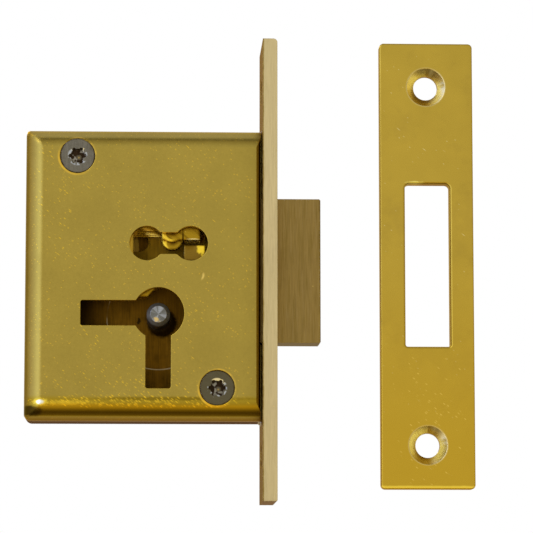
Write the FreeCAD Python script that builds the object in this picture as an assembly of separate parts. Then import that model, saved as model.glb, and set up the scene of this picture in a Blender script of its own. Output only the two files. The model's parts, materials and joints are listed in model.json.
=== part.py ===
import FreeCAD
import Part

import math
import os

# Mortice cupboard lock with a drawn brass cap, five levers for a pipe key and a separate striking plate.
# Millimetres. X is the way the bolt is thrown, Z is up, and Y runs from the cap to the case's back.
# The origin is the centre of the forend's back face, and the bolt is drawn fully thrown.

V = FreeCAD.Vector
ALONG_X = V(1, 0, 0)
ALONG_Y = V(0, 1, 0)
ALONG_Z = V(0, 0, 1)

# Forend, the plate let into the door's edge
forend_thick = 3.2
forend_wide = 21.0
forend_long = 102.0
forend_top_r = 0.9
forend_bottom_r = 0.3
forend_screw_gap = 81.4
wood_screw_r = 2.75
wood_screw_sink_r = 4.35

# Case and cap
case_long = 52.2
case_top = 31.2
case_bottom = -33.2
case_deep = 13.5
wall = 2.0
corner_r = 1.5
back_edge_r = 0.6
cap_deep = 4.75
cap_face_r = 4.0
cap_inner_r = 0.8
cap_front_r = 1.0
cap_crevice = 0.35
solder_leg = 0.7

# Bolt
bolt_shown = 9.8
throw = 9.7
bolt_high = 32.0
bolt_thick = 8.0
bolt_mid_z = 0.1
bolt_end_break = 0.25
bolt_head_rear = 3.3
window_gap = 0.15
tail_thick = 3.0
tail_back_gap = 0.25
tail_top = 13.0
tail_bottom = -1.6
tail_rear = 40.1
tail_root = 1.0

# Key centre, drill pin and keyhole
key_x = -22.8
key_z = -9.7
key_bit_r = 11.5
drill_pin_r = 2.6
drill_pin_sunk = 2.5
drill_pin_chamfer = 0.8
keyhole_r = 5.7
key_slot_wide = 5.6
key_slot_left = 17.1
key_slot_down = 16.6
key_slot_corner_r = 0.5
notch_wide = 9.8
notch_over_bit = 0.3
sweep_gap = 0.5

# Sight hole
sight_z = 5.75
sight_left_x = -25.4
sight_right_x = -15.75
sight_r = 3.82
sight_neck = 4.8
sight_blend_r = 0.9

# Bolt stump, which the levers' gates let pass
stump_left = -17.2
stump_wide = 4.6
stump_bottom = 2.2
stump_high = 3.4
stump_cap_gap = 0.35
stump_spigot_r = 1.3

# Levers
pivot_x = -36.8
pivot_z = 7.0
pivot_r = 2.0
running_gap = 0.05
lever_thick = 1.0
lever_gap = 0.15
lever_eye_r = 5.0
lever_reach = 23.2
lever_top = 14.5
lever_heel_z = -2.0
lever_heel_long = 4.2
lever_nose_z = -5.8
lever_nose_x = -28.2
lever_throat_z = -4.4
belly_r = 5.25
belly_right = 2.2
belly_up = 1.2
belly_end_deg = 58.0
lever_lifts_deg = [12.0, 15.0, 13.0, 14.0, 12.5]
tooth_reliefs = [1.4, 0.0, 0.25, 0.1, 0.35]
tooth_gap = 0.15
pocket_gap = 0.25
shoulder_gap = 1.2
pocket_roof_over = 1.2
pocket_roof_step = 0.3
sweep_steps = 24

# Lever springs
spring_thick = 0.4
spring_wide = 0.8
spring_foot = 2.0
spring_x = -29.8
spring_wall_gap = 0.05

# Pins, pillars and screws
pin_top_gap = 0.2
spigot_share_gap = 0.02
pivot_spigot_r = 1.5
stop_x = -34.4
stop_r = 1.25
stop_gap = 0.15
stop_spigot_r = 0.9
pillar_r = 3.2
pillar_spigot_r = 2.0
cap_screw_places = [(-40.77, 25.15), (-9.86, -26.12)]
cap_screw_r = 2.0
cap_screw_head_r = 3.75
cap_screw_land = 0.15
cap_screw_sunk = 0.1
cap_screw_long = 9.0
cap_screw_tap_over = 0.7
screw_seat_break = 0.15
screw_seat_gap = 0.04
recess_r = 1.95
recess_lobe_r = 0.42
recess_deep = 1.3
recess_lobes = 6
rivet_r = 1.6
rivet_head_r = 2.6
rivet_head_high = 0.9
rivet_z = 22.5

# Striking plate, drawn beside the lock
strike_thick = 3.0
strike_wide = 21.15
strike_long = 101.3
strike_left = 27.15
strike_mid_z = 3.15
strike_front = 7.5
strike_corner_r = 1.0
strike_edge_r = 0.35
strike_slot_wide = 10.1
strike_slot_high = 36.95
strike_slot_off_x = 0.15
strike_slot_mid_z = 3.0
strike_slot_top_r = 1.0
strike_slot_low_r = 0.5
strike_slot_edge_r = 0.55
strike_screw_gap = 81.4
strike_screw_mid_z = 3.03

# Sizes that follow from those above
over = 1.0
pick_near = 0.01
lever_count = len(lever_lifts_deg)
half_deep = case_deep / 2
front_y = -half_deep
back_y = half_deep
inner_front_y = front_y + wall
inner_back_y = back_y - wall
rim_y = front_y + cap_deep
case_right = 0.0
case_left = case_right - case_long
inner_left = case_left + wall
inner_right = case_right - wall
inner_top = case_top - wall
inner_bottom = case_bottom + wall
cap_right = case_right - cap_crevice
forend_face = forend_thick
bolt_nose = forend_face + bolt_shown
tail_back_y = inner_back_y - tail_back_gap
tail_front_y = tail_back_y - tail_thick
bolt_bottom = bolt_mid_z - bolt_high / 2
bolt_top = bolt_mid_z + bolt_high / 2
stump_top = stump_bottom + stump_high
stump_right = stump_left + stump_wide
tooth_right = stump_left - 2 * tooth_gap
tooth_left = stump_right - throw + tooth_gap
tooth_r = (tooth_right - tooth_left) / 2
tooth_x = (tooth_right + tooth_left) / 2
belly_x = key_x + belly_right
belly_z = key_z + belly_up
pin_front_y = inner_front_y + pin_top_gap
stop_z = lever_heel_z - stop_gap - stop_r


def box(x0, x1, y0, y1, z0, z1):
    """A block between two corners."""
    return Part.makeBox(x1 - x0, y1 - y0, z1 - z0, V(x0, y0, z0))


def rod(x, z, y0, y1, r):
    """A round bar along Y."""
    return Part.makeCylinder(r, y1 - y0, V(x, y0, z), ALONG_Y)


def rod_x(y, z, x0, x1, r):
    """A round bar along X."""
    return Part.makeCylinder(r, x1 - x0, V(x0, y, z), ALONG_X)


def cone(x, z, y0, y1, r0, r1):
    """A cone along Y, of radius r0 at y0 and r1 at y1."""
    return Part.makeCone(r0, r1, y1 - y0, V(x, y0, z), ALONG_Y)


def joined(first, others):
    """One solid from several that meet."""
    return first.fuse(others).removeSplitter()


def prism(points, y0, y1):
    """A straight-sided plate from (x, z) corners, between two depths."""
    corners = [V(x, y0, z) for x, z in points]
    return Part.Face(Part.makePolygon(corners + corners[:1])).extrude(V(0, y1 - y0, 0))


def line(a, b):
    return Part.LineSegment(a, b).toShape()


def quarter(a, b, centre):
    """A quarter arc from a to b about centre."""
    middle = centre + ((a + b) * 0.5 - centre).normalize() * (a - centre).Length
    return Part.Arc(a, middle, b).toShape()


def y_edges(shape, places):
    """The straight edges along Y that stand at the given (x, z) places."""
    found = []
    for edge in shape.Edges:
        a = edge.Vertexes[0].Point
        b = edge.Vertexes[-1].Point
        upright = abs(a.x - b.x) < pick_near and abs(a.z - b.z) < pick_near
        if upright and any(math.hypot(a.x - x, a.z - z) < pick_near for x, z in places):
            found.append(edge)
    return found


def rounded(shape, places, r):
    """The shape with its edges along Y at these places rounded."""
    return shape.makeFillet(r, y_edges(shape, places))


def rounded_block(x0, x1, y0, y1, z0, z1, r):
    """A block with its four edges along Y rounded."""
    block = box(x0, x1, y0, y1, z0, z1)
    return rounded(block, [(x0, z0), (x0, z1), (x1, z0), (x1, z1)], r)


def cap_form(inset, r, y_open):
    """The cap's outline drawn in by inset: rounded by r along its left, top and bottom edges."""
    x0 = case_left + inset
    x1 = cap_right
    y0 = front_y + inset
    z0 = case_bottom + inset
    z1 = case_top - inset
    side = Part.Face(Part.Wire([
        line(V(x0, y_open, z0), V(x0, y0 + r, z0)),
        quarter(V(x0, y0 + r, z0), V(x0, y0, z0 + r), V(x0, y0 + r, z0 + r)),
        line(V(x0, y0, z0 + r), V(x0, y0, z1 - r)),
        quarter(V(x0, y0, z1 - r), V(x0, y0 + r, z1), V(x0, y0 + r, z1 - r)),
        line(V(x0, y0 + r, z1), V(x0, y_open, z1)),
        line(V(x0, y_open, z1), V(x0, y_open, z0)),
    ])).extrude(V(x1 - x0, 0, 0))
    plan = Part.Face(Part.Wire([
        line(V(x0, y_open, z0), V(x0, y0 + r, z0)),
        quarter(V(x0, y0 + r, z0), V(x0 + r, y0, z0), V(x0 + r, y0 + r, z0)),
        line(V(x0 + r, y0, z0), V(x1, y0, z0)),
        line(V(x1, y0, z0), V(x1, y_open, z0)),
        line(V(x1, y_open, z0), V(x0, y_open, z0)),
    ])).extrude(V(0, 0, z1 - z0))
    return side.common(plan)


def front_edge_cutter():
    """What rounds the cap's edge beside the forend."""
    x1 = cap_right
    r = cap_front_r
    corner = box(x1 - r, x1 + over, front_y - over, front_y + r, case_bottom - over, case_top + over)
    bar = Part.makeCylinder(
        r, case_top - case_bottom + 2 * over, V(x1 - r, front_y + r, case_bottom - over), ALONG_Z
    )
    return corner.cut(bar)


def keyhole_cutter(y0, y1):
    """The round eye for the pipe and the two slots for the bit."""
    half = key_slot_wide / 2
    left = box(key_x - key_slot_left, key_x, y0, y1, key_z - half, key_z + half)
    left = rounded(left, [(key_x - key_slot_left, key_z - half), (key_x - key_slot_left, key_z + half)],
                   key_slot_corner_r)
    down = box(key_x - half, key_x + half, y0, y1, key_z - key_slot_down, key_z)
    down = rounded(down, [(key_x - half, key_z - key_slot_down), (key_x + half, key_z - key_slot_down)],
                   key_slot_corner_r)
    return joined(rod(key_x, key_z, y0, y1, keyhole_r), [left, down])


def sight_cutter(y0, y1):
    """Two round windows joined by a neck, with the neck's corners blended."""
    half = sight_neck / 2
    step = math.sqrt(sight_r ** 2 - half ** 2)
    neck = box(sight_left_x, sight_right_x, y0, y1, sight_z - half, sight_z + half)
    windows = [rod(x, sight_z, y0, y1, sight_r) for x in (sight_left_x, sight_right_x)]
    hole = joined(neck, windows)
    places = [(x, z) for x in (sight_left_x + step, sight_right_x - step)
              for z in (sight_z - half, sight_z + half)]
    return rounded(hole, places, sight_blend_r)


def bolt_window(x0, x1):
    """The bolt's way through the front wall and the forend."""
    half = bolt_thick / 2 + window_gap
    return box(x0, x1, -half, half, bolt_bottom - window_gap, bolt_top + window_gap)


def make_case():
    tray = box(case_left, case_right, rim_y, back_y, case_bottom, case_top)
    tray = rounded(tray, [(case_left, case_bottom), (case_left, case_top)], corner_r)
    back_edges = [e for e in tray.Edges
                  if all(abs(v.Point.y - back_y) < pick_near for v in e.Vertexes)
                  and min(v.Point.x for v in e.Vertexes) < case_right - corner_r]
    tray = tray.makeFillet(back_edge_r, back_edges)
    hollow = box(inner_left, inner_right, rim_y - over, inner_back_y, inner_bottom, inner_top)
    lip = cap_form(wall, cap_inner_r, rim_y + over).common(
        box(inner_right, case_right, inner_front_y, rim_y + over, inner_bottom, inner_top)
    )
    shell = joined(tray.cut(hollow), [lip])
    holes = [bolt_window(inner_right - over, case_right + over)]
    for x, z in cap_screw_places:
        holes.append(rod(x, z, inner_back_y - over, back_y + over, pillar_spigot_r + spigot_share_gap))
    for x, z, r in (
        (key_x, key_z, pillar_spigot_r),
        (pivot_x, pivot_z, pivot_spigot_r),
        (stop_x, stop_z, stop_spigot_r),
    ):
        holes.append(rod(x, z, inner_back_y - over, back_y + over, r + spigot_share_gap))
    for z in (-rivet_z, rivet_z):
        holes.append(rod_x(0, z, inner_right - over, case_right + over, rivet_r + spigot_share_gap))
    return shell.cut(holes)


def make_cap():
    outline = box(case_left, cap_right, front_y, rim_y, case_bottom, case_top)
    outline = rounded(outline, [(case_left, case_bottom), (case_left, case_top)], corner_r)
    shell = cap_form(0, cap_face_r, rim_y).common(outline).cut(front_edge_cutter())
    inside = cap_form(wall, cap_inner_r, rim_y + over)
    hollow = joined(inside, [inside.translated(V(over, 0, 0))])
    cuts = [
        hollow,
        keyhole_cutter(front_y - over, inner_front_y + over),
        sight_cutter(front_y - over, inner_front_y + over),
    ]
    land_end = front_y + cap_screw_sunk + cap_screw_land
    r = cap_screw_head_r + screw_seat_gap
    for x, z in cap_screw_places:
        cuts.append(rod(x, z, front_y - over, land_end, r))
        cuts.append(cone(x, z, front_y - over, front_y + screw_seat_break, r + screw_seat_break + over, r))
        cuts.append(cone(x, z, land_end, inner_front_y, r, r - (inner_front_y - land_end)))
    return shell.cut(cuts)


def recess(x, z, y0, y1):
    """The screw's six-lobed driving recess."""
    ring = recess_r - recess_lobe_r
    lobes = []
    for n in range(recess_lobes):
        a = 2 * math.pi * n / recess_lobes
        lobes.append(rod(x + ring * math.cos(a), z + ring * math.sin(a), y0, y1, recess_lobe_r))
    return joined(rod(x, z, y0, y1, ring), lobes)


def make_cap_screws():
    screws = []
    head_y = front_y + cap_screw_sunk
    land_end = head_y + cap_screw_land
    cone_end = land_end + cap_screw_head_r - cap_screw_r
    for x, z in cap_screw_places:
        screw = joined(rod(x, z, head_y, land_end, cap_screw_head_r), [
            cone(x, z, land_end, cone_end, cap_screw_head_r, cap_screw_r),
            rod(x, z, cone_end, head_y + cap_screw_long, cap_screw_r),
        ])
        screws.append(screw.cut(recess(x, z, head_y - over, head_y + recess_deep)))
    return Part.makeCompound(screws)


def make_pillar(place):
    """A post riveted into the case's back and tapped for the cap's screw."""
    x, z = place
    tap_end = front_y + cap_screw_sunk + cap_screw_long + cap_screw_tap_over
    post = joined(rod(x, z, inner_front_y, inner_back_y, pillar_r), [
        rod(x, z, inner_back_y, back_y, pillar_spigot_r),
    ])
    return post.cut(rod(x, z, inner_front_y - over, tap_end, cap_screw_r + spigot_share_gap))


def make_pin(x, z, r, spigot_r, y0, chamfer):
    """A pin riveted into the case's back, with its free end broken by a chamfer."""
    return joined(rod(x, z, y0 + chamfer, inner_back_y, r), [
        cone(x, z, y0, y0 + chamfer, r - chamfer, r),
        rod(x, z, inner_back_y, back_y, spigot_r),
    ])


def make_forend():
    half_y = forend_wide / 2
    half_z = forend_long / 2
    plate = box(case_right, forend_face, -half_y, half_y, -half_z, half_z)
    for z, r in ((half_z, forend_top_r), (-half_z, forend_bottom_r)):
        end = [e for e in plate.Edges
               if all(abs(v.Point.x - forend_face) < pick_near for v in e.Vertexes)
               and all(abs(v.Point.z - z) < pick_near for v in e.Vertexes)]
        plate = plate.makeFillet(r, end)
    cuts = [bolt_window(case_right - over, forend_face + over)]
    sink = wood_screw_sink_r - wood_screw_r
    for z in (-forend_screw_gap / 2, forend_screw_gap / 2):
        cuts.append(rod_x(0, z, case_right - over, forend_face + over, wood_screw_r))
        cuts.append(Part.makeCone(wood_screw_r, wood_screw_sink_r + over, sink + over,
                                  V(forend_face - sink, 0, z), ALONG_X))
    for z in (-rivet_z, rivet_z):
        cuts.append(rod_x(0, z, case_right - over, forend_face + over, rivet_r + spigot_share_gap))
    return plate.cut(cuts)


def make_forend_rivets():
    """Two rivets, flush outside and headed inside, that hold the forend to the case."""
    rivets = []
    for z in (-rivet_z, rivet_z):
        rivets.append(joined(rod_x(0, z, inner_right, forend_face, rivet_r), [
            rod_x(0, z, inner_right - rivet_head_high, inner_right, rivet_head_r),
        ]))
    return Part.makeCompound(rivets)


def make_forend_solder():
    """Beads of solder where the case's top and bottom meet the forend's back."""
    beads = []
    for z, out in ((case_top, 1), (case_bottom, -1)):
        corner = V(case_right, rim_y, z)
        along = corner - V(solder_leg, 0, 0)
        up = corner + V(0, 0, out * solder_leg)
        face = Part.Face(Part.Wire([
            line(corner, along),
            quarter(along, up, V(along.x, rim_y, up.z)),
            line(up, corner),
        ]))
        beads.append(face.extrude(V(0, back_y - back_edge_r - rim_y, 0)))
    return Part.makeCompound(beads)


def make_bolt():
    half = bolt_thick / 2
    head = box(-bolt_head_rear, bolt_nose, -half, half, bolt_bottom, bolt_top)
    nose = [e for e in head.Edges if all(abs(v.Point.x - bolt_nose) < pick_near for v in e.Vertexes)]
    head = head.makeChamfer(bolt_end_break, nose)
    tail = box(-tail_rear, tail_root - bolt_head_rear, tail_front_y, tail_back_y, tail_bottom, tail_top)
    sweep = rod(key_x + throw, key_z, -half - over, half + over, key_bit_r + sweep_gap)
    shape = joined(head.cut(sweep), [tail])
    slot_r = pivot_r + running_gap
    slot = box(pivot_x, pivot_x + throw, tail_front_y - over, tail_back_y + over, pivot_z - slot_r,
               pivot_z + slot_r)
    slot_ends = [rod(x, pivot_z, tail_front_y - over, tail_back_y + over, slot_r)
                 for x in (pivot_x, pivot_x + throw)]
    notch_x = key_x + throw / 2
    notch_top = key_z + key_bit_r + notch_over_bit
    notch = box(notch_x - notch_wide / 2, notch_x + notch_wide / 2, tail_front_y - over,
                tail_back_y + over, tail_bottom - over, notch_top)
    seat_x = (stump_left + stump_right) / 2
    seat_z = (stump_bottom + stump_top) / 2
    seat = rod(seat_x, seat_z, tail_front_y - over, tail_back_y + over, stump_spigot_r + spigot_share_gap)
    return shape.cut([joined(slot, slot_ends), notch, seat])


def make_bolt_stump():
    block = box(stump_left, stump_right, inner_front_y + stump_cap_gap, tail_front_y, stump_bottom, stump_top)
    seat_x = (stump_left + stump_right) / 2
    seat_z = (stump_bottom + stump_top) / 2
    return joined(block, [rod(seat_x, seat_z, tail_front_y, tail_back_y, stump_spigot_r)])


def stump_in_lever(x, z, s, lift_deg):
    """Where a point of the stump lies on a lever once the bolt has gone back by s."""
    a = math.radians(lift_deg) * s / throw
    dx = x - s - pivot_x
    dz = z - pivot_z
    return (
        pivot_x + dx * math.cos(a) + dz * math.sin(a),
        pivot_z - dx * math.sin(a) + dz * math.cos(a),
    )


def stump_rim():
    """Points along the stump's left and top sides."""
    rim = []
    for n in range(sweep_steps + 1):
        t = n / sweep_steps
        rim.append((stump_left, stump_bottom + t * stump_high))
        rim.append((stump_left + t * stump_wide, stump_top))
    return rim


def tooth_mid_z(lift_deg):
    """How low a lever's round tooth may hang and still clear the stump all the way."""
    lowest = stump_bottom
    reach = tooth_r + tooth_gap
    for n in range(sweep_steps + 1):
        s = throw * n / sweep_steps
        for x, z in stump_rim():
            px, pz = stump_in_lever(x, z, s, lift_deg)
            if abs(px - tooth_x) < reach:
                lowest = max(lowest, pz + math.sqrt(reach ** 2 - (px - tooth_x) ** 2))
    return lowest


def lever_front_y(n):
    """The front face of a lever, counted from the cap."""
    behind = lever_count - 1 - n
    return tail_front_y - (behind + 1) * (lever_thick + lever_gap)


def eye_tangent(away, up):
    """Where a straight edge from a corner straight above or below the pivot meets the lever's eye."""
    a = math.asin(lever_eye_r / away)
    return pivot_x - lever_eye_r * math.cos(a), pivot_z + up * lever_eye_r * math.sin(a)


def make_lever(n):
    y0 = lever_front_y(n)
    y1 = y0 + lever_thick
    lift = lever_lifts_deg[n]
    corners = [stump_in_lever(x, z, throw, lift)
               for x in (stump_left, stump_right) for z in (stump_bottom, stump_top)]
    pocket_left = min(x for x, z in corners) - pocket_gap
    pocket_bottom = min(z for x, z in corners) - pocket_gap
    pocket_top = stump_top + shoulder_gap
    pocket_roof = pocket_top + pocket_roof_over + (lever_count - 1 - n) * pocket_roof_step
    belly_end = math.radians(belly_end_deg)
    body = prism([
        eye_tangent(pivot_z - lever_heel_z, -1),
        (pivot_x, lever_heel_z),
        (pivot_x + lever_heel_long, lever_heel_z),
        (lever_nose_x, lever_nose_z),
        (belly_x, lever_nose_z),
        (belly_x + belly_r * math.cos(belly_end), belly_z + belly_r * math.sin(belly_end)),
        (tooth_right, lever_throat_z),
        (tooth_right, pocket_top),
        (pivot_x + lever_reach, pocket_top),
        (pivot_x + lever_reach, lever_top),
        (pivot_x, lever_top),
        eye_tangent(lever_top - pivot_z, 1),
    ], y0, y1)
    plate = joined(body, [rod(pivot_x, pivot_z, y0, y1, lever_eye_r)])
    plate = plate.common(rod(pivot_x, pivot_z, y0, y1, lever_reach))
    plate = plate.cut([
        rod(belly_x, belly_z, y0 - over, y1 + over, belly_r),
        box(pocket_left, tooth_right + over, y0 - over, y1 + over, pocket_bottom, pocket_top),
        box(pocket_left, tooth_left, y0 - over, y1 + over, pocket_bottom, pocket_roof),
    ])
    mid_z = tooth_mid_z(lift) + tooth_reliefs[n]
    tooth = [rod(tooth_x, mid_z, y0, y1, tooth_r)]
    if mid_z < pocket_top:
        tooth.append(box(tooth_left, tooth_right, y0, y1, mid_z, pocket_top))
    plate = joined(plate, tooth)
    slot = box(spring_x - spring_thick / 2, spring_x + spring_thick / 2, y0 - over, y1 + over,
               lever_top - spring_foot, lever_top + over)
    return plate.cut([rod(pivot_x, pivot_z, y0 - over, y1 + over, pivot_r + running_gap), slot])


def make_lever_spring(n):
    """A flat strip, seated in its lever's top edge and bent over until it bears on the case's top."""
    y0 = lever_front_y(n) + (lever_thick - spring_wide) / 2
    half = spring_thick / 2
    outer = inner_top - spring_wall_gap - lever_top
    inner = outer - spring_thick
    left = spring_x - half
    right = spring_x + half
    turn_x = left + outer
    foot_z = lever_top - spring_foot
    face = Part.Face(Part.Wire([
        line(V(left, y0, foot_z), V(left, y0, lever_top)),
        quarter(V(left, y0, lever_top), V(turn_x, y0, lever_top + outer), V(turn_x, y0, lever_top)),
        line(V(turn_x, y0, lever_top + outer), V(turn_x, y0, lever_top + inner)),
        quarter(V(turn_x, y0, lever_top + inner), V(right, y0, lever_top), V(turn_x, y0, lever_top)),
        line(V(right, y0, lever_top), V(right, y0, foot_z)),
        line(V(right, y0, foot_z), V(left, y0, foot_z)),
    ]))
    return face.extrude(V(0, spring_wide, 0))


def make_striking_plate():
    right = strike_left + strike_wide
    mid_x = (strike_left + right) / 2
    back = strike_front + strike_thick
    plate = rounded_block(strike_left, right, strike_front, back, strike_mid_z - strike_long / 2,
                          strike_mid_z + strike_long / 2, strike_corner_r)
    plate = plate.makeFillet(strike_edge_r, [
        e for e in plate.Edges if all(abs(v.Point.y - strike_front) < pick_near for v in e.Vertexes)
    ])
    slot_left = mid_x + strike_slot_off_x - strike_slot_wide / 2
    slot_right = slot_left + strike_slot_wide
    slot_low = strike_slot_mid_z - strike_slot_high / 2
    slot_top = slot_low + strike_slot_high
    slot = box(slot_left, slot_right, strike_front - over, back + over, slot_low, slot_top)
    for z, r in ((slot_low, strike_slot_low_r), (slot_top, strike_slot_top_r)):
        slot = rounded(slot, [(slot_left, z), (slot_right, z)], r)
    plate = plate.cut(slot)
    plate = plate.makeFillet(strike_slot_edge_r, [
        e for e in plate.Edges
        if all(abs(v.Point.y - strike_front) < pick_near
               and slot_left - pick_near < v.Point.x < slot_right + pick_near for v in e.Vertexes)
    ])
    cuts = []
    sink = wood_screw_sink_r - wood_screw_r
    for z in (strike_screw_mid_z - strike_screw_gap / 2, strike_screw_mid_z + strike_screw_gap / 2):
        cuts.append(rod(mid_x, z, strike_front - over, back + over, wood_screw_r))
        cuts.append(cone(mid_x, z, strike_front - over, strike_front + sink, wood_screw_sink_r + over,
                         wood_screw_r))
    return plate.cut(cuts)


def main():
    os.makedirs("parts", exist_ok=True)
    shapes = {
        "case": make_case(),
        "cap": make_cap(),
        "cap_screws": make_cap_screws(),
        "upper_pillar": make_pillar(cap_screw_places[0]),
        "lower_pillar": make_pillar(cap_screw_places[1]),
        "drill_pin": make_pin(key_x, key_z, drill_pin_r, pillar_spigot_r, front_y + drill_pin_sunk,
                              drill_pin_chamfer),
        "lever_pivot": make_pin(pivot_x, pivot_z, pivot_r, pivot_spigot_r, pin_front_y, pin_top_gap),
        "lever_stop_pin": make_pin(stop_x, stop_z, stop_r, stop_spigot_r, pin_front_y, pin_top_gap),
        "forend": make_forend(),
        "forend_rivets": make_forend_rivets(),
        "forend_solder": make_forend_solder(),
        "bolt": make_bolt(),
        "bolt_stump": make_bolt_stump(),
        "striking_plate": make_striking_plate(),
    }
    for n in range(lever_count):
        shapes["lever_%d" % (n + 1)] = make_lever(n)
        shapes["lever_spring_%d" % (n + 1)] = make_lever_spring(n)
    for name, shape in shapes.items():
        shape.exportStep("parts/%s.step" % name)
        print(name, "solids", len(shape.Solids), "valid", shape.isValid(), "mm3 %.3f" % shape.Volume)


main()
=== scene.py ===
import json
import logging
import math
from dataclasses import dataclass, replace
from enum import Enum
from typing import Any, ClassVar

import bmesh
import bpy
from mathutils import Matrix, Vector


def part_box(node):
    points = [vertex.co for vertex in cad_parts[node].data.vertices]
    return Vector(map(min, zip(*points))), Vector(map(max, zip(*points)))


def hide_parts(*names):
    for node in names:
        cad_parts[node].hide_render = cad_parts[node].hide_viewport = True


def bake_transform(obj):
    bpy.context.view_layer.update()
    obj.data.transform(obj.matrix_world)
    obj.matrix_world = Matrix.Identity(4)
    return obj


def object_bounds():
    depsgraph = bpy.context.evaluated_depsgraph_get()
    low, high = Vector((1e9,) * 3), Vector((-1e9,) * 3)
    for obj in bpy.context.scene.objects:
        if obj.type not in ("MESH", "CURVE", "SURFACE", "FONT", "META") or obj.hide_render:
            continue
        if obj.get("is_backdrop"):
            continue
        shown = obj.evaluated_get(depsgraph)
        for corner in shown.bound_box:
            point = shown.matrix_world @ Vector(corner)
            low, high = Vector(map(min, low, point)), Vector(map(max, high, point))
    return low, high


# The looks of a brass mortice cupboard lock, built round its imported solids.
# Metres, in the row's frame: X the way the bolt is thrown, Z up, and Y from the cap to the case's back.
# Materials read the row's own coordinates, so their grain stays on a piece as it moves.

LOG = logging.getLogger("cupboard_lock")
MM = 0.001
Colour = tuple[float, float, float]
Point = tuple[float, float, float] | Vector
Pair = tuple[float, float]
Stop = tuple[float, float, float, float]
Socket = bpy.types.NodeSocket
Sockets = dict[str, Socket] | bpy.types.bpy_prop_collection
NOWHERE: Point = (0.0, 0.0, 0.0)
DOWN: Point = (0.0, 0.0, -1.0)
PAST = 1.2  # a zone that holds a whole piece reaches this many times as far from the origin as the piece
WHITE: Colour = (1.0, 1.0, 1.0)

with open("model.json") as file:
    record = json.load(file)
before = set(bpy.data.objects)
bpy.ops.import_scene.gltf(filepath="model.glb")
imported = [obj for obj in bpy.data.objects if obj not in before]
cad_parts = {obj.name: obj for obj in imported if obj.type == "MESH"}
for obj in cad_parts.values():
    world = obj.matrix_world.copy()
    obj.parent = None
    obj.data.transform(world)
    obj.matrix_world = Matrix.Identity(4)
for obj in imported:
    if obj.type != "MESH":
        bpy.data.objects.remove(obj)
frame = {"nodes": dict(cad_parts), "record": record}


def mm(*lengths: float) -> tuple[float, ...]:
    """Turns millimetres into metres."""
    return tuple(length * MM for length in lengths)


class Grain(Enum):
    """The way a brass surface was worked, as the stretch of its grain along X, Y and Z."""

    TUMBLED = (1.0, 1.0, 1.0)
    BRUSHED_UP = (1.0, 1.0, 0.05)
    BRUSHED_ACROSS = (0.05, 1.0, 1.0)


class SocketKind(Enum):
    """The kinds of socket an effect has, by Blender's names."""

    VALUE = "NodeSocketFloat"
    VECTOR = "NodeSocketVector"


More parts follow.
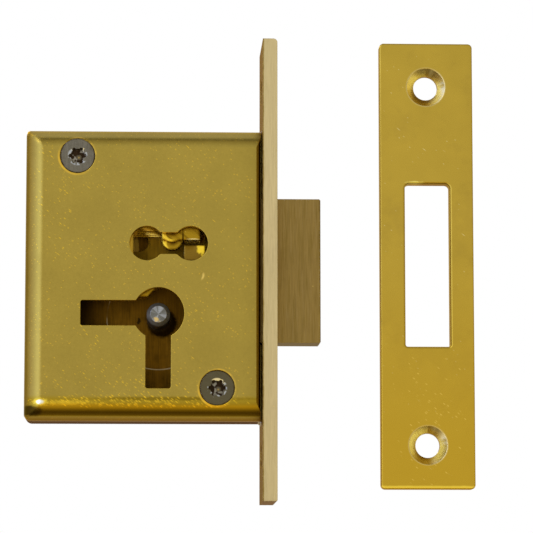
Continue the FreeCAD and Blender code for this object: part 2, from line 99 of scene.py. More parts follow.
class Bench:
    """Adds nodes to one node tree and links them."""

    def __init__(self, tree: bpy.types.NodeTree) -> None:
        """Clears the node tree of a material, a world or an effect to work on."""
        self.tree = tree
        tree.nodes.clear()

    def add(self, kind: str, feeds: dict[Any, Any] | None = None, **settings: Any) -> bpy.types.Node:
        """Adds one node.

        Args:
            kind: Blender's name for the node type, without its ShaderNode prefix.
            feeds: socket name or index to the value or socket that it takes.
            settings: the node's own properties.

        Returns:
            The new node.
        """
        node = self.tree.nodes.new(kind if kind.startswith("Node") else "ShaderNode" + kind)
        for name, value in settings.items():
            setattr(node, name, value)
        for name, value in (feeds or {}).items():
            self.feed(node.inputs[name], value)
        return node

    def feed(self, socket: Socket, value: Any) -> None:
        """Links a socket, or sets it where the value is plain.

        Args:
            socket: the input.
            value: a socket, a number, a vector or a colour, which gets a full alpha where it has none.
        """
        if isinstance(value, Socket):
            self.tree.links.new(value, socket)
        elif socket.type == "RGBA":
            socket.default_value = (*value[:3], 1.0)
        else:
            socket.default_value = value

    def math(self, operation: str, a: Any, b: Any = 0.0, clamp: bool = False) -> Socket:
        """One arithmetic step, whose socket it returns."""
        return self.add("Math", {0: a, 1: b}, operation=operation, use_clamp=clamp).outputs[0]

    def times(self, a: Any, b: Any, clamp: bool = False) -> Socket:
        """The product of two values."""
        return self.math("MULTIPLY", a, b, clamp)

    def plus(self, a: Any, b: Any, clamp: bool = False) -> Socket:
        """The sum of two values."""
        return self.math("ADD", a, b, clamp)

    def less(self, a: Any, b: Any, clamp: bool = False) -> Socket:
        """The first value less the second."""
        return self.math("SUBTRACT", a, b, clamp)

    def shared(self, a: Any, b: Any, share: float) -> Socket:
        """The sum of a share of one value and the rest of another."""
        return self.plus(self.times(a, share), self.times(b, 1.0 - share))

    def vector(self, operation: str, a: Any, b: Any = NOWHERE) -> Socket:
        """One vector step, whose vector or measure it returns."""
        found = "Value" if operation in ("LENGTH", "DOT_PRODUCT") else "Vector"
        return self.add("VectorMath", {0: a, 1: b}, operation=operation).outputs[found]

    def axis(self, place: Socket, number: int) -> Socket:
        """One coordinate of a place."""
        return self.add("SeparateXYZ", {0: place}).outputs[number]

    def remap(self, value: Any, low: float, high: float, to_low: Any = 0.0, to_high: Any = 1.0,
              kind: str = "LINEAR") -> Socket:
        """Maps low to high onto the range from to_low to to_high, held at its ends."""
        feeds = {"Value": value, "From Min": low, "From Max": high, "To Min": to_low, "To Max": to_high}
        return self.add("MapRange", feeds, interpolation_type=kind, clamp=True).outputs[0]

    def spread(self, noise: Socket, to_low: float = -1.0, to_high: float = 1.0) -> Socket:
        """Maps soft noise, nearly all of which lies between 0.3 and 0.7, onto a whole range."""
        return self.remap(noise, 0.3, 0.7, to_low, to_high)

    def sway(self, noise: Socket, by: float) -> Socket:
        """Moves soft noise from about 0.5 to about nothing, and scales it."""
        return self.times(self.less(noise, 0.5), by)

    def peaks(self, noise: Socket, top: float, share: Any, gain: float) -> Socket:
        """Keeps the peaks of soft noise above top, or from lower down the larger a share is."""
        low = self.less(top, self.times(share, 0.3))
        return self.times(self.less(noise, low), gain, clamp=True)

    def ease(self, value: Any, low: float, high: float) -> Socket:
        """Maps low to high onto nothing to one, with eased ends."""
        return self.remap(value, low, high, kind="SMOOTHSTEP")

    def near(self, value: Any, middle: Any, none_at: float, full_at: float) -> Socket:
        """One close to a middle value, and nothing further off than none_at."""
        return self.ease(self.math("ABSOLUTE", self.less(value, middle)), none_at, full_at)

    def mix(self, share: Any, a: Any, b: Any, way: str = "MIX") -> Socket:
        """Mixes two colours by a share, and returns the result's socket."""
        return self.add("Mix", {0: share, 6: a, 7: b}, data_type="RGBA", blend_type=way).outputs[2]

    def grey(self, level: Any) -> Socket:
        """The grey of one level."""
        return self.add("CombineColor", {0: level, 1: level, 2: level}).outputs[0]

    def scaled(self, colour: Any, level: Any) -> Socket:
        """A colour times a level."""
        return self.mix(1.0, colour, self.grey(level), "MULTIPLY")

    def noise(self, place: Any, scale: Any, detail: float = 3.0, rough: float = 0.6) -> Socket:
        """Soft noise about 0.5 at a place, whose value's socket it returns."""
        feeds = {"Vector": place, "Scale": scale, "Detail": detail, "Roughness": rough}
        return self.add("TexNoise", feeds).outputs[0]

    def stretched(self, place: Any, lean_deg: float, scale: Any, offset: Point = NOWHERE) -> Socket:
        """Takes an offset off a place, turns it about Y by some degrees and scales it."""
        feeds = {"Vector": self.vector("SUBTRACT", place, offset), "Rotation": (0.0, math.radians(lean_deg), 0.0)}
        return self.vector("MULTIPLY", self.add("Mapping", feeds, vector_type="POINT").outputs[0], scale)


class Effect(Bench):
    """A shared effect, kept as one shader node group that every material places with its own values."""

    takes: ClassVar[dict[str, Any]] = {}
    built: ClassVar[dict[str, bpy.types.ShaderNodeTree]] = {}

    @classmethod
    def tree(cls) -> bpy.types.ShaderNodeTree:
        """The effect's node group, made at its first use, with its inputs' defaults from takes.

        Returns:
            The group.
        """
        if cls.__name__ in Effect.built:
            return Effect.built[cls.__name__]
        tree = bpy.data.node_groups.new(cls.__name__, "ShaderNodeTree")
        group = cls(tree)
        for name, default in cls.takes.items():
            kind = SocketKind.VECTOR if isinstance(default, tuple) else SocketKind.VALUE
            tree.interface.new_socket(name, in_out="INPUT", socket_type=kind.value).default_value = default
        found = group.draw(group.add("NodeGroupInput").outputs)
        for name, socket in found.items():
            tree.interface.new_socket(name, in_out="OUTPUT", socket_type=SocketKind[socket.type].value)
        group.add("NodeGroupOutput", found)
        Effect.built[cls.__name__] = tree
        return tree

    def draw(self, into: Sockets) -> Sockets:
        """Draws the effect's nodes from its inputs, and gives its outputs by name."""
        raise NotImplementedError

    @classmethod
    def place(cls, on: "Surface", **values: Any) -> Sockets:
        """Places the effect in a material, at the surface's own place unless it gets another."""
        own = {"Place": on.place} if "Place" in cls.takes else {}
        return on.add("Group", {**own, **values}, node_tree=cls.tree()).outputs


class FineGrain(Effect):
    """Fine grain of two sizes, with slow changes of tone over it."""

    takes = {"Place": NOWHERE, "Fine": 4000.0, "Broad": 120.0}

    def draw(self, into: Sockets) -> Sockets:
        """Draws the grain, its height and the clouds of tone.

        Args:
            into: the group's inputs by name.

        Returns:
            The group's outputs by name.
        """
        fine = self.noise(into["Place"], into["Fine"], 2.0)
        middle = self.noise(into["Place"], self.times(into["Fine"], 0.28))
        both = self.shared(fine, middle, 0.6)
        cloud = self.noise(into["Place"], into["Broad"], rough=0.5)
        return {
            "Tone": self.remap(both, 0.32, 0.68, -1.0, 1.0),
            "Height": both,
            "Cloud": self.spread(cloud),
        }


class EdgeWear(Effect):
    """A broken bright line along outer edges, worn and painted as a glint, and a normal that rolls over them."""

    takes = {"Place": NOWHERE, "Radius": 0.0002, "Break": 900.0, "Share": 0.5}
    flat_cosine: ClassVar[float] = 0.985
    edge_cosine: ClassVar[float] = 0.86

    def draw(self, into: Sockets) -> Sockets:
        """Compares the rolled normal with the true one, and breaks the line up.

        Args:
            into: the group's inputs by name.

        Returns:
            The group's outputs by name.
        """
        rolled = self.add("Bevel", {"Radius": into["Radius"]}, samples=6).outputs[0]
        true = self.add("NewGeometry").outputs["Normal"]
        edge = self.remap(self.vector("DOT_PRODUCT", rolled, true), self.flat_cosine, self.edge_cosine)
        worn = self.peaks(self.noise(into["Place"], into["Break"]), 0.62, into["Share"], 8.0)
        return {"Mask": self.times(edge, worn), "Normal": rolled}


class BrightFlecks(Effect):
    """Tiny bright scratches and flecks, each a stretched cell."""

    takes = {"Place": NOWHERE, "Scale": 500.0, "Share": 0.2, "Size": 0.3, "Squeeze": (0.6, 1.0, 1.0)}
    lean_deg: ClassVar[float] = -38.0

    def draw(self, into: Sockets) -> Sockets:
        """Keeps the heart of a share of the cells, stretched along the scratches' way.

        Args:
            into: the group's inputs by name.

        Returns:
            The group's outputs by name.
        """
        leaning = self.stretched(into["Place"], self.lean_deg, into["Squeeze"])
        cells = self.add("TexVoronoi", {"Vector": leaning, "Scale": into["Scale"]}, feature="F1").outputs
        lot = self.add("SeparateColor", {0: cells["Color"]}).outputs[0]
        chosen = self.math("LESS_THAN", lot, into["Share"])
        heart = self.less(1.0, self.math("DIVIDE", cells["Distance"], into["Size"]), clamp=True)
        return {"Mask": self.times(chosen, heart)}


class Smudges(Effect):
    """Soft patches of tarnish and handling marks."""

    takes = {"Place": NOWHERE, "Scale": 60.0, "Share": 0.4}

    def draw(self, into: Sockets) -> Sockets:
        """Draws two sizes of cloud and keeps their peaks.

        Args:
            into: the group's inputs by name.

        Returns:
            The group's outputs by name.
        """
        wide = self.noise(into["Place"], into["Scale"], 4.0, 0.62)
        small = self.noise(into["Place"], self.times(into["Scale"], 6.0))
        return {"Mask": self.peaks(self.shared(wide, small, 0.7), 0.66, into["Share"], 5.0)}


class CreviceShade(Effect):
    """Painted shade, with some dirt, in corners that little light reaches."""

    takes = {"Reach": 0.001, "Power": 1.0}

    def draw(self, into: Sockets) -> Sockets:
        """Measures how much of the way out is shut off."""
        open_share = self.add("AmbientOcclusion", {"Distance": into["Reach"]}, samples=6).outputs["AO"]
        return {"Mask": self.math("POWER", self.less(1.0, open_share, clamp=True), into["Power"])}


class TurnedRings(Effect):
    """The rings that a lathe leaves about a centre, and the bright wedges of light that lie across them."""

    takes = {"Place": NOWHERE, "Centre": NOWHERE, "Across": (1.0, 0.0, 1.0), "Rings": 18000.0, "Wedges": 1.3}
    drift: ClassVar[Point] = (0.03, 0.03, 0.03)
    seed: ClassVar[Point] = (90.0, 90.0, 90.0)

    def draw(self, into: Sockets) -> Sockets:
        """Draws noise over the distance from the centre, and slower noise over the way round it.

        Args:
            into: the group's inputs by name.

        Returns:
            The group's outputs by name.
        """
        away = self.vector("SUBTRACT", into["Place"], into["Centre"])
        flat = self.vector("MULTIPLY", away, into["Across"])
        radius = self.vector("LENGTH", flat)
        across = self.add("CombineXYZ", {0: radius}).outputs[0]
        slow = self.vector("ADD", self.vector("MULTIPLY", into["Place"], self.drift), across)
        rings = self.noise(slow, into["Rings"], 2.0)
        seed = self.vector("MULTIPLY", into["Centre"], self.seed)
        way = self.vector("ADD", self.vector("NORMALIZE", flat), seed)
        return {
            "Tone": self.spread(rings),
            "Height": rings,
            "Radius": radius,
            "Wedge": self.ease(self.noise(way, into["Wedges"], 2.0, 0.5), 0.42, 0.64),
        }


class Surface(Bench):
    """One new material, and what its finish has worked out so far."""

    def __init__(self, name: str, colour: Colour, rough: float) -> None:
        """Starts the material.

        Args:
            name: the material's name.
            colour: its colour before anything is worked in.
            rough: its roughness before anything is worked in.
        """
        self.material = bpy.data.materials.new(name)
        self.material.use_nodes = True
        super().__init__(self.material.node_tree)
        self.place = self.add("TexCoord").outputs["Object"]
        self.colour: Any = colour
        self.rough: Any = rough
        self.height: Any = 0.0

    def tint(self, mask: Any, colour: Any, share: float = 1.0, rough_by: float = 0.0) -> None:
        """Mixes a colour in where a mask is set, and adds to the roughness there."""
        self.colour = self.mix(self.times(mask, share), self.colour, colour)
        self.rough = self.plus(self.rough, self.times(mask, rough_by), clamp=True)

    def raise_by(self, mask: Any, by: float) -> None:
        """Adds to the height where a mask is set."""
        self.height = self.plus(self.height, self.times(mask, by))

    def side(self, centre: Point, toward: Point, low: float = -0.1, high: float = 0.7) -> Socket:
        """A share that starts and is full at two cosines of the angle between a place's way and another."""
        way = self.vector("NORMALIZE", self.vector("SUBTRACT", self.place, centre))
        return self.ease(self.vector("DOT_PRODUCT", way, Vector(toward).normalized()), low, high)

    def shade(self, tones: tuple[tuple[Any, float], ...]) -> None:
        """Varies the colour's level by several tones, each about 0 with its own share.

        Args:
            tones: each tone and its share.
        """
        level: Any = 1.0
        for tone, share in tones:
            level = self.plus(level, self.times(tone, share))
        self.colour = self.scaled(self.colour, level)


@dataclass(frozen=True)
class Zone:
    """A box in the row's frame."""

    low: Point
    high: Point

    def mask(self, on: Surface) -> Socket:
        """One inside the box and nothing outside it.

        Args:
            on: the surface.

        Returns:
            The mask's socket.
        """
        low, high = Vector(self.low), Vector(self.high)
        away = on.vector("ABSOLUTE", on.vector("SUBTRACT", on.place, (low + high) / 2))
        left = on.vector("SUBTRACT", (high - low) / 2, away)
        x, y, z = on.add("SeparateXYZ", {0: left}).outputs
        return on.math("GREATER_THAN", on.math("MINIMUM", on.math("MINIMUM", x, y), z), 0.0)


@dataclass(frozen=True, kw_only=True)
class Detail:
    """Something that a finish has at one place only, under its dirt and painted shade or over them."""

    zone: Zone | None = None
    over_painted_shade: bool = False

    def work(self, on: Surface) -> None:
        """Works the detail into a surface."""
        raise NotImplementedError

    def kept(self, on: Surface, mask: Any) -> Any:
        """Keeps a mask to the detail's zone, where it has one."""
        return on.times(mask, self.zone.mask(on)) if self.zone else mask


@dataclass(frozen=True)
class Spot(Detail):
    """Something oval on a face that looks along Y."""

    place: Point
    size: Pair

    def away(self, on: Surface, lean_deg: float, shift: float = 0.0) -> Socket:
        """How far off the spot a place lies, as a share of its half length and half width.

        Args:
            on: the surface.
            lean_deg: how far the spot leans.
            shift: how far along X its middle is moved, as a share of its width.

        Returns:
            The distance's socket, which is one at the spot's rim.
        """
        long, wide = self.size
        middle = (self.place[0] + shift * wide, *self.place[1:])
        return on.vector("LENGTH", on.stretched(on.place, lean_deg, (1.0 / long, 0.0, 1.0 / wide), middle))


@dataclass(frozen=True)
class Dent(Spot):
    """One small dent, with a painted highlight on the burr on its right."""

    lean_deg: float
    bright: Colour
    depth: float = 6.0
    burr_shift: float = 0.55

    def work(self, on: Surface) -> None:
        """Sinks the dent and paints a highlight on its burr.

        Args:
            on: the surface so far.
        """
        sunk, burr = (on.ease(self.away(on, self.lean_deg, shift), 1.0, 0.3) for shift in (0.0, self.burr_shift))
        on.raise_by(sunk, -self.depth)
        on.tint(on.less(burr, sunk, clamp=True), self.bright, 0.8)


@dataclass(frozen=True)
class StainOrPaintedLight(Spot):
    """One soft patch with a ragged rim: a real stain, or painted shade, shadow or highlight."""

    colour: Colour = (0.015, 0.010, 0.004)
    share: float = 0.85
    ragged: float = 2.2
    heart: float = 0.5
    rough_by: float = 0.0
    lean_deg: float = 0.0
    rag_scale: ClassVar[float] = 1500.0

    def work(self, on: Surface) -> None:
        """Tints the patch.

        Args:
            on: the surface so far.
        """
        rag = on.sway(on.noise(on.place, self.rag_scale), self.ragged)
        mask = self.kept(on, on.ease(on.plus(self.away(on, self.lean_deg), rag), 1.0, self.heart))
        on.tint(mask, self.colour, self.share, self.rough_by)


@dataclass(frozen=True)
class Sparkle(Spot):
    """A part of a face where bright flecks crowd."""

    crowd: float
    colour: Colour = (1.0, 0.62, 0.03)
    lean_deg: float = 0.0
    fleck: float = 0.45

    def work(self, on: Surface) -> None:
        """Lights the flecks, fewer of them towards the rim.

        Args:
            on: the surface so far.
        """
        share = on.remap(self.away(on, self.lean_deg), 1.0, 0.2, 0.0, self.crowd)
        flecks = BrightFlecks.place(on, Scale=3400.0, Share=share, Size=self.fleck, Squeeze=(0.3, 1.0, 1.0))
        on.tint(flecks["Mask"], self.colour, 0.9)


@dataclass(frozen=True)
class ShadedHollow(Detail):
    """A rougher region inside a box, darkened to amber by painted shade, with or without painted glints."""

    zone: Zone
    colour: Colour = (0.20, 0.095, 0.006)
    rough_by: float = 0.25
    glint: Colour = (0.55, 0.36, 0.10)
    glint_share: float = 0.0
    glint_scale: float = 1900.0
    streak_scale: ClassVar[float] = 5200.0
    cloud_scale: ClassVar[float] = 230.0

    def work(self, on: Surface) -> None:
        """Paints shade over what lies in the box, and paints glints in it.

        Args:
            on: the surface so far.
        """
        inside = self.zone.mask(on)
        streaks = on.noise(on.vector("MULTIPLY", on.place, (1.0, 1.0, 0.04)), self.streak_scale)
        clouds = on.noise(on.place, self.cloud_scale)
        level = on.spread(on.shared(streaks, clouds, 0.5), 0.45, 1.6)
        # Painted shade: what lies in the box is darkened, in streaks and clouds, and roughened.
        on.tint(inside, on.scaled(self.colour, level), rough_by=self.rough_by)
        # Painted glints, where the hollow has them.
        if self.glint_share:
            spots = on.noise(on.place, self.glint_scale, 1.0, 0.5)
            lit = on.ease(spots, 1.0 - self.glint_share, 1.06 - self.glint_share)
            on.tint(on.times(lit, inside), self.glint)


@dataclass(frozen=True)
class WearOrPaintedLightRing(Detail):
    """A thin broken circle: a key's scratch, or painted highlight or shade round a countersink, tooth or screw."""

    centre: Point
    radius: float
    width: float = 0.17 * MM
    colour: Colour = (0.62, 0.50, 0.27)
    wedges: float = 1.8
    broken: float = 1.0
    share: float = 0.85
    toward: Point | None = None
    heart: ClassVar[float] = 0.3

    def work(self, on: Surface) -> None:
        """Tints a thin circle, as broken as its wedges make it and deepest on one side.

        Args:
            on: the surface so far.
        """
        rings = TurnedRings.place(on, Centre=self.centre, Wedges=self.wedges)
        line = on.near(rings["Radius"], self.radius, self.width, self.width * self.heart)
        mask = on.times(line, on.remap(rings["Wedge"], 0.0, 1.0, 1.0 - self.broken, 1.0))
        if self.toward is not None:
            mask = on.times(mask, on.side(self.centre, self.toward))
        on.tint(self.kept(on, mask), self.colour, self.share)


@dataclass(frozen=True)
class FadingTone(Detail):
    """A tint along one axis, towards a neighbour or an edge: dirt or polish, or painted shade or highlight."""

    none_at: float
    full_at: float
    colour: Colour
    share: float = 0.9
    rough_by: float = 0.0
    axis: int = 0
    sway_scale: ClassVar[float] = 260.0
    sway_by: ClassVar[float] = 0.5 * MM

    def work(self, on: Surface) -> None:
        """Tints from the place where it starts to the one where it is full.

        Args:
            on: the surface so far.
        """
        shift = on.sway(on.noise(on.place, self.sway_scale, 4.0), self.sway_by)
        along = on.plus(on.axis(on.place, self.axis), shift)
        mask = self.kept(on, on.ease(along, self.none_at, self.full_at))
        on.tint(mask, self.colour, self.share, self.rough_by)


@dataclass(frozen=True)
class DrawnLines(Detail):
    """Long thin lines drawn over a face that looks along Y, all one way."""

    lean_deg: float
    colour: Colour
    share: float
    scale: float
    low: float
    rise: ClassVar[float] = 0.16

    def work(self, on: Surface) -> None:
        """Tints the lines."""
        lines = on.noise(on.stretched(on.place, self.lean_deg, Grain.BRUSHED_ACROSS.value), self.scale, 2.0)
        on.tint(on.ease(lines, self.low, self.low + self.rise), self.colour, self.share)


@dataclass(frozen=True)
class Burrs(Detail):
    """Bright flakes that a driver has turned up round a screw's recess."""

    centre: Point
    radius: float = 1.85 * MM
    width: float = 0.42 * MM
    colour: Colour = (0.46, 0.47, 0.44)
    gold: Colour = (0.95, 0.78, 0.36)
    up: Point = (0.1, 0.0, 1.0)
    heart: ClassVar[float] = 0.4
    flake_scale: ClassVar[float] = 1100.0

    def work(self, on: Surface) -> None:
        """Lights the flakes in a ring, and paints a golden reflection on those at its top.

        Args:
            on: the surface so far.
        """
        rings = TurnedRings.place(on, Centre=self.centre)
        band = on.near(rings["Radius"], self.radius, self.width, self.width * self.heart)
        flakes = on.ease(on.noise(on.place, self.flake_scale, 1.0, 0.5), 0.52, 0.60)
        # Painted reflection: flakes towards the top turn golden.
        tone = on.mix(on.side(self.centre, self.up, 0.5, 0.85), self.colour, self.gold)
        on.tint(on.times(band, flakes), tone, 0.9)


@dataclass(frozen=True)
class TurnedSink(Detail):
    """A polished countersink with painted sheen, shade below and glare, and a pale rim where its cutter ran out.
    """

    centre: Point
    radius: float
    across: Point
    # The cone's colours stand in for its light: lit, in painted wedges of sheen, shaded below, and in glare.
    bright: Colour = (0.97, 0.80, 0.24)
    shaded_below: Colour = (0.42, 0.28, 0.04)
    wedge: Colour = (0.60, 0.42, 0.08)
    rim: Colour = (0.86, 0.74, 0.38)
    glare: Colour = (1.0, 0.98, 0.62)
    glare_way: Point = (1.0, 0.0, -0.3)
    rim_off: float = 0.12 * MM
    rim_fade: Pair = mm(0.16, 0.05)

    def work(self, on: Surface) -> None:
        """Tints the cone with its rings and painted sheen, shade and glare, and draws the rim.

        Args:
            on: the surface so far.
        """
        rings = TurnedRings.place(on, Centre=self.centre, Across=self.across, Rings=5200.0, Wedges=2.2)
        cone = self.kept(on, on.remap(rings["Radius"], self.radius, self.radius * 0.985))
        # Painted light: wedges of sheen, shade below and glare on one side.
        lit = on.mix(on.times(rings["Wedge"], 0.55), self.bright, self.wedge)
        lit = on.mix(on.side(self.centre, DOWN, 0.1, 0.8), lit, self.shaded_below)
        lit = on.mix(on.side(self.centre, self.glare_way, 0.2, 0.9), lit, self.glare)
        on.tint(cone, on.scaled(lit, on.remap(rings["Tone"], -1.0, 1.0, 0.93, 1.05)), 0.95, -0.04)
        edge = on.near(rings["Radius"], self.radius + self.rim_off, *self.rim_fade)
        on.tint(self.kept(on, edge), self.rim, 0.2)


@dataclass(frozen=True)
class Finish:
    """What every finish has: colours, worn edges with painted glints, dirt and painted shade in corners, and
    details.
    """

    name: str
    colour: Colour
    # The next colour tints both the tarnish and the painted shade in corners.
    dark: Colour = (0.16, 0.10, 0.03)
    bright: Colour = (0.88, 0.64, 0.15)
    roughness: float = 0.28
    bump: float = 0.12
    edge_radius: float = 0.16 * MM
    edge_share: float = 0.6
    # The edges' bright tint is wear in part and painted glints in part.
    edge_light: float = 0.8
    # The next four values darken corners that little light reaches: painted shade, with some dirt close in.
    grime_and_shade: float = 0.5
    grime_and_shade_reach: float = 0.8 * MM
    painted_shade: float = 0.0
    painted_shade_reach: float = 5.0 * MM
    graze: Colour = (1.0, 0.86, 0.52)
    soft_left: float | None = None
    soft_run: float = 0.6 * MM
    soft_radius: float = 1.3 * MM
    roll: float = 0.0
    details: tuple[Detail, ...] = ()

    def grain(self, on: Surface) -> None:
        """Works the finish's own grain into a surface."""
        raise NotImplementedError

    def detail(self, on: Surface, over_painted_shade: bool) -> None:
        """Works in the details that lie under the corner dirt and painted shade, or those that lie over it.

        Args:
            on: the surface so far.
            over_painted_shade: which of the two.
        """
        for detail in self.details:
            if detail.over_painted_shade == over_painted_shade:
                detail.work(on)

    def material(self) -> bpy.types.Material:
        """Builds the material.

        Returns:
            The new material.
        """
        on = Surface(self.name, self.colour, self.roughness)
        self.grain(on)
        self.detail(on, over_painted_shade=False)
        radius: Any = self.edge_radius
        if self.soft_left is not None:
            radius = on.remap(on.axis(on.place, 0), self.soft_left, self.soft_left - self.soft_run,
                              self.edge_radius, self.soft_radius)
        edge = EdgeWear.place(on, Radius=radius, Break=1100.0, Share=self.edge_share)
        # Painted shade, with some dirt: corners that little light reaches are darkened.
        on.tint(CreviceShade.place(on, Reach=self.grime_and_shade_reach, Power=1.2)["Mask"], self.dark, self.grime_and_shade)
        # Painted shade only: over a wider reach, faces near other parts are darkened.
        if self.painted_shade:
            on.tint(CreviceShade.place(on, Reach=self.painted_shade_reach, Power=1.5)["Mask"], self.dark, self.painted_shade)
        # Bright edges: wear in part, painted glints in part.
        on.tint(edge["Mask"], self.bright, self.edge_light, -0.1)
        self.detail(on, over_painted_shade=True)
        normal = edge["Normal"]
        if self.roll:
            normal = EdgeWear.place(on, Radius=self.roll)["Normal"]
        bump = on.add("Bump", {"Strength": self.bump, "Distance": 0.02 * MM, "Height": on.height,
                               "Normal": normal})
        shader = on.add("BsdfPrincipled", {
            "Base Color": on.colour, "Metallic": 1.0, "Roughness": on.rough,
            "Normal": bump.outputs[0], "Specular Tint": self.graze,
        })
        on.add("OutputMaterial", {"Surface": shader.outputs[0]})
        return on.material


@dataclass(frozen=True)
class BrassFinish(Finish):
    """A worked brass surface: grain, flecks, fine scratches and tarnish."""

    way: Grain = Grain.TUMBLED
    fine: float = 4200.0
    tone: float = 0.07
    cloud: float = 0.05
    smudge: float = 0.15
    specks: float = 0.03
    scratches: float = 0.02

    def grain(self, on: Surface) -> None:
        """Works grain, tarnish, specks and scratches in.

        Args:
            on: the surface so far.
        """
        worked = on.vector("MULTIPLY", on.place, self.way.value)
        grain = FineGrain.place(on, Place=worked, Fine=self.fine, Broad=110.0)
        stains = Smudges.place(on, Scale=70.0, Share=0.45)
        on.shade(((grain["Tone"], self.tone), (grain["Cloud"], self.cloud)))
        on.height = grain["Height"]
        on.rough = on.plus(on.rough, on.times(grain["Tone"], 0.04))
        on.tint(stains["Mask"], self.dark, self.smudge, 0.12)
        crowd = on.remap(grain["Cloud"], -1.0, 1.0, 0.2, 2.0)
        for share, scale, size, squeeze, light in (
            (self.specks, 3700.0, 0.42, (0.42, 1.0, 1.0), 0.75),
            (self.scratches, 1900.0, 0.17, (0.14, 1.0, 1.0), 0.95),
        ):
            fleck = BrightFlecks.place(on, Scale=scale, Share=on.times(crowd, share), Size=size, Squeeze=squeeze)
            on.tint(fleck["Mask"], self.bright, light)
            on.raise_by(fleck["Mask"], 0.6)


@dataclass(frozen=True)
class TurnedFinish(Finish):
    """A turned steel face seen end-on: rings, painted wedges of sheen about each centre, and grey-brown tarnish.
    """

    dark: Colour = (0.045, 0.028, 0.012)
    bright: Colour = (0.62, 0.56, 0.42)
    bump: float = 0.25
    edge_radius: float = 0.12 * MM
    edge_share: float = 0.7
    edge_light: float = 0.6
    # Its recesses are darkened by painted shade, with some dirt.
    grime_and_shade: float = 0.8
    grime_and_shade_reach: float = 1.0 * MM
    graze: Colour = (0.9, 0.86, 0.8)
    centres: tuple[Point, ...] = (NOWHERE,)
    wedge_light: float = 0.5
    wedges: float = 1.3
    rim: Colour = (0.34, 0.29, 0.20)
    face_radius: float = 1.0

    def grain(self, on: Surface) -> None:
        """Works rings, painted wedges of sheen and tarnish in about the nearest centre.

        Args:
            on: the surface so far.
        """
        centre: Any = self.centres[0]
        if len(self.centres) > 1:
            between = (self.centres[0][0] + self.centres[1][0]) / 2
            centre = on.mix(on.math("GREATER_THAN", on.axis(on.place, 0), between), *self.centres)
        rings = TurnedRings.place(on, Centre=centre, Rings=7000.0, Wedges=self.wedges)
        grain = FineGrain.place(on, Fine=5200.0, Broad=400.0)
        stains = Smudges.place(on, Scale=260.0, Share=0.5)
        on.shade(((rings["Tone"], 0.16), (grain["Tone"], 0.10)))
        # Painted sheen: bright wedges across the rings.
        on.tint(rings["Wedge"], self.bright, self.wedge_light)
        on.tint(stains["Mask"], self.dark, 0.35)
        rim = on.math("GREATER_THAN", rings["Radius"], self.face_radius)
        on.tint(rim, self.rim, 0.7, 0.3)
        on.height = on.plus(rings["Height"], on.times(grain["Height"], 0.4))
        on.rough = on.plus(on.rough, on.times(grain["Tone"], 0.06), clamp=True)


def dress(finish: Finish, *nodes: str, **changes: Any) -> None:
    """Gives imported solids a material.

    Args:
        finish: what the material is built from.
        nodes: the solids' names.
        changes: what the finish has otherwise on them.
    """
    material = replace(finish, **changes).material()
    for node in nodes:
        slots = frame["nodes"][node].data.materials
        if not slots:
            slots.append(material)
        for n in range(len(slots)):
            slots[n] = material
        LOG.info("dressed %s with %s", node, material.name)


def stand(name: str, data: Any) -> bpy.types.Object:
    """Adds an object of the builder's own to the scene.

    Args:
        name: its name.
        data: its mesh, lamp or camera.

    Returns:
        The new object.
    """
    thing = bpy.data.objects.new(name, data)
    bpy.context.scene.collection.objects.link(thing)
    return thing


def centre_of(node: str) -> Vector:
    """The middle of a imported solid's box."""
    low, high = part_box(node)
    return (low + high) / 2


def bolt_circle(mount: str) -> list[Point]:
    """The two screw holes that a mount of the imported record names.

    Args:
        mount: the mount's name.

    Returns:
        The places of the lower and the upper hole.
    """
    found = next(m for m in frame["record"]["mounts"] if m["name"] == mount)
    half = Vector((0.0, 0.0, found["dims"]["spacing_y_mm"] * MM / 2))
    return [Vector(found["pos_m"]) + half * side for side in (-1, 1)]


